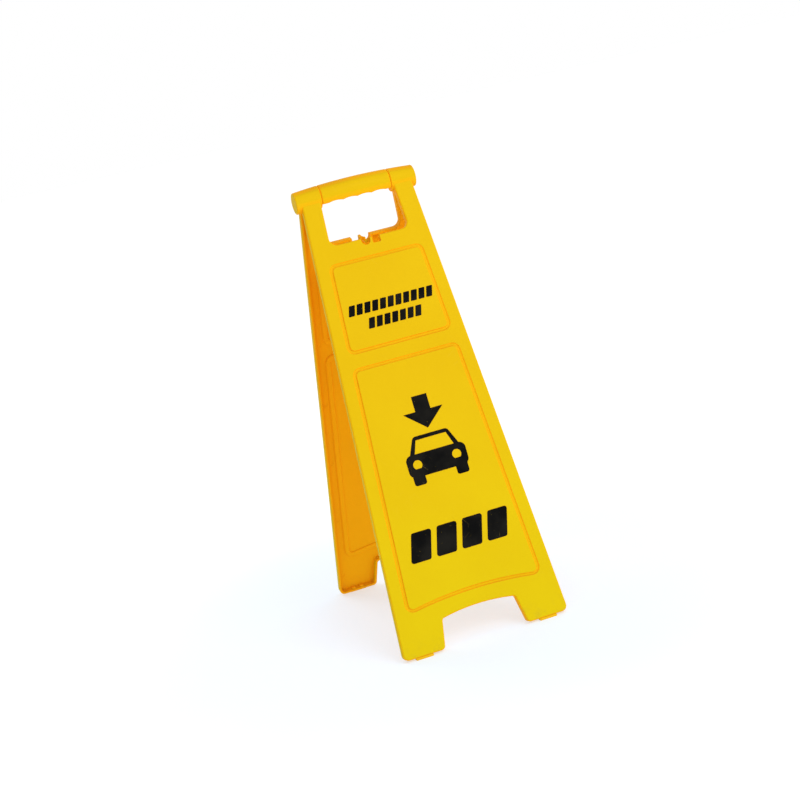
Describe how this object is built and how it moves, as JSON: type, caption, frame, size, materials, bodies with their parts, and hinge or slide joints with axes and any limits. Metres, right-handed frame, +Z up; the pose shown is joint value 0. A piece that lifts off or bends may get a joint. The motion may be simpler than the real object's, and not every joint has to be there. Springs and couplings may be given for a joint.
{
  "type": "folding floor sign",
  "caption": "Folding A-frame floor sign: two tapered moulded leaves with legs, hinged along a carrying grip over a hand opening, with plain printed traffic marks.",
  "frame": {"origin": "on the floor, midway between the feet of the two leaves, with the sign standing open", "axes": "+X across the sign along the hinge bar, -Y towards the front leaf, +Z up"},
  "size_m": [0.239, 0.3588, 0.6314],
  "materials": {
    "yellow_shell": "satin moulded",
    "foot_pad": "matt",
    "pin_steel": "plain",
    "black_print": "matt film"
  },
  "bodies": {
    "front_leaf": {"front_panel": "yellow_shell", "hinge_pin_left": "pin_steel", "hinge_pin_right": "pin_steel", "barrel_cap_left": "yellow_shell", "barrel_cap_right": "yellow_shell", "front_foot_pad_left": "foot_pad", "front_foot_pad_right": "foot_pad", "front_print_upper_stripes": "black_print", "front_print_lower_stripes": "black_print", "front_print_arrow": "black_print", "front_print_car": "black_print", "front_print_hazard_blocks": "black_print"},
    "rear_leaf": {"rear_panel": "yellow_shell", "rear_foot_pad_left": "foot_pad", "rear_foot_pad_right": "foot_pad", "rear_print_upper_stripes": "black_print", "rear_print_lower_stripes": "black_print", "rear_print_arrow": "black_print", "rear_print_car": "black_print", "rear_print_hazard_blocks": "black_print"}
  },
  "joints": [
    {"name": "leaf_fold", "type": "hinge", "parent": "front_leaf", "child": "rear_leaf", "pos_m": [0, 0, 0.61262], "axis": [-1, 0, 0], "range_deg": [0, 30.6]}
  ]
}
